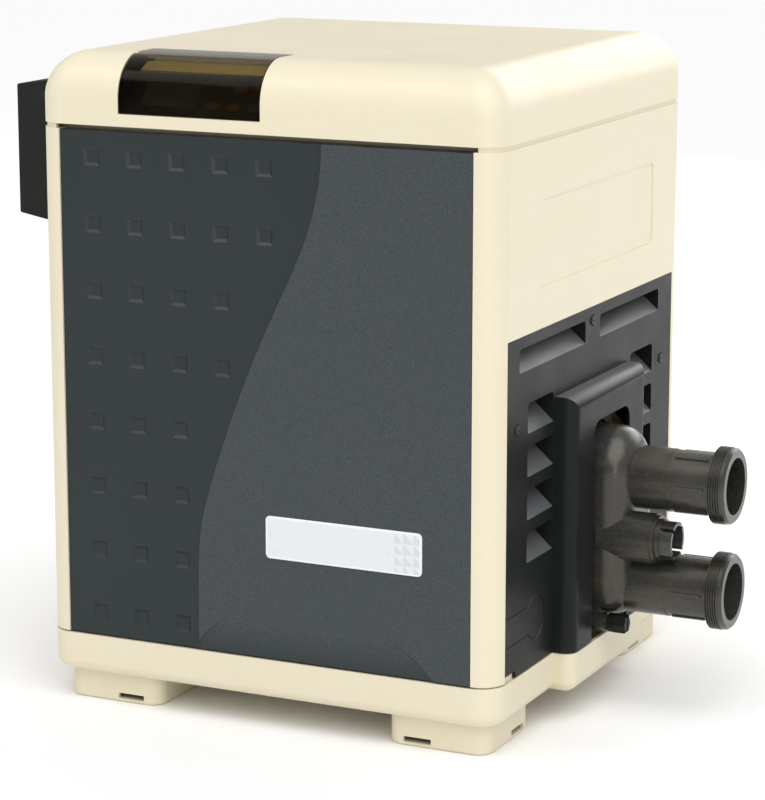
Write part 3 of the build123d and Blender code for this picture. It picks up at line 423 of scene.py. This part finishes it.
def finished_mesh(build, name):
    """The mesh of a bmesh, which is freed."""
    mesh = bpy.data.meshes.new(name)
    build.to_mesh(mesh)
    build.free()
    return mesh


def new_piece(name, mesh, body, slot):
    """A piece that rides on a body and wears a material slot's finish."""
    piece = new_object(name, mesh)
    mesh.materials.clear()
    mesh.materials.append(FINISHES[slot].material)
    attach(piece, body)
    return piece


def port_nibs(node):
    """Four little stops with rounded edges, just inside the mouth of a port."""
    low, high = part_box(node)
    centre = (high.x - NIB_INSET - NIB_LENGTH / 2, (low.y + high.y) / 2, (low.z + high.z) / 2)
    build = bmesh.new()
    for number in range(NIB_COUNT):
        spin = Matrix.Rotation(math.radians(FIRST_NIB + 360 / NIB_COUNT * number), 4, "X")
        place = Matrix.Translation(centre) @ spin
        place = place @ Matrix.Translation((0, 0, PORT_BORE - NIB_HEIGHT / 2 + NIB_ROOT / 2))
        place = place @ Matrix.Diagonal((NIB_LENGTH, NIB_WIDTH, NIB_HEIGHT + NIB_ROOT, 1))
        bmesh.ops.create_cube(build, size=1.0, matrix=place)
    bmesh.ops.bevel(build, geom=build.edges[:], offset=NIB_ROUND, segments=ROUND_SEGMENTS, affect="EDGES")
    new_piece(node + "_nibs", finished_mesh(build, node + "_nibs"), "cabinet", "glass_filled")


def compressed_spring(node):
    """The CAD spring's own shape, on a piece of its own that rides on the cabinet."""
    spring = new_piece(node + "_coil", nodes[node].data.copy(), "cabinet", "steel")
    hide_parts(node)
    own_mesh(spring)


def soften_edges(node, width):
    """Moulded parts have no knife edges: a small round catches the light along each one."""
    part = nodes[node]
    weld = part.modifiers.new("weld", "WELD")
    weld.merge_threshold = WELD_DISTANCE
    merge = part.modifiers.new("merge_planes", "DECIMATE")
    merge.decimate_type = "DISSOLVE"
    merge.angle_limit = math.radians(FLAT_ANGLE)
    round_off = part.modifiers.new("round_off", "BEVEL")
    round_off.width = width
    round_off.segments = ROUND_SEGMENTS
    round_off.limit_method = "ANGLE"
    round_off.angle_limit = math.radians(SHARP_ANGLE)
    round_off.use_clamp_overlap = True


for part_name, edge_width in EDGE_ROUNDS.items():
    soften_edges(part_name, edge_width)
for port in ("outlet_nipple", "inlet_nipple"):
    port_nibs(port)
compressed_spring("bypass_spring")


# ---------------------------------------------------------------- studio

FLOOR_REACH, FLOOR_SEGMENTS = 60.0, 8
WORLD_STRENGTH = 0.46

# The camera of the photograph: level across, looking down a little from the front right.
CAMERA_PLACE = (1.3779, -2.8660, 0.9807)
CAMERA_YAW, CAMERA_PITCH = 25.484, 12.065
CAMERA_LENS, CAMERA_SENSOR = 132.66, 36  # millimetres
CAMERA_NEAR, CAMERA_FAR = 0.05, 60


def studio_floor():
    """Pale paper that reaches far past the view."""
    grid = bmesh.new()
    bmesh.ops.create_grid(grid, x_segments=FLOOR_SEGMENTS, y_segments=FLOOR_SEGMENTS, size=FLOOR_REACH)
    mesh = finished_mesh(grid, "floor")
    floor = new_object("floor", mesh)
    paper = Finish("floor_paper", (0.955, 0.955, 0.955), roughness=0.95, Specular_IOR_Level=0.1)
    paper.tint(paper.noise(2, 3, 0.5), (0.945, 0.945, 0.945), 0.5)
    mesh.materials.append(paper.material)


def soft_light(name, place, target, width, height, power):
    """A rectangular lamp that faces its target."""
    lamp = bpy.data.lights.new(name, "AREA")
    lamp.shape = "RECTANGLE"
    lamp.size, lamp.size_y = width, height
    lamp.energy = power
    light = new_object(name, lamp)
    light.location = place
    light.rotation_mode = "QUATERNION"
    light.rotation_quaternion = (Vector(target) - Vector(place)).to_track_quat("-Z", "Y")


def broad_sun(name, azimuth, elevation, spread, strength):
    """Even light over the object and the whole floor. Azimuth 0 comes from -Y and 90 from +X."""
    lamp = bpy.data.lights.new(name, "SUN")
    lamp.energy = strength
    lamp.angle = math.radians(spread)
    sun = new_object(name, lamp)
    sun.rotation_euler = (math.radians(90 - elevation), 0, math.radians(azimuth))


def white_world(strength):
    world = bpy.data.worlds.new("studio")
    scene.world = world
    world.use_nodes = True
    set_sockets(world.node_tree.nodes["Background"], {"Color": (1, 1, 1, 1), "Strength": strength})


def photo_camera():
    camera = new_object("camera", bpy.data.cameras.new("camera"))
    camera.data.sensor_width = CAMERA_SENSOR
    camera.data.lens = CAMERA_LENS
    camera.data.clip_start, camera.data.clip_end = CAMERA_NEAR, CAMERA_FAR
    camera.location = CAMERA_PLACE
    camera.rotation_euler = (math.radians(90 - CAMERA_PITCH), 0, math.radians(CAMERA_YAW))
    return camera


studio_floor()
broad_sun("overhead", azimuth=36, elevation=60, spread=70, strength=2.05)
soft_light("high_left", place=(-1.30, -1.50, 2.60), target=(-0.10, -0.26, 0.45),
           width=1.0, height=1.0, power=7.5)
soft_light("backdrop", place=(0.8, 3.3, 1.75), target=(0, 0, 0.45), width=3.2, height=1.9, power=46)
soft_light("right_box", place=(2.30, -2.80, 0.86), target=(0, -0.26, 0.40), width=0.6, height=1.6, power=8)
white_world(WORLD_STRENGTH)
scene.view_settings.view_transform = "Standard"
scene.camera = photo_camera()
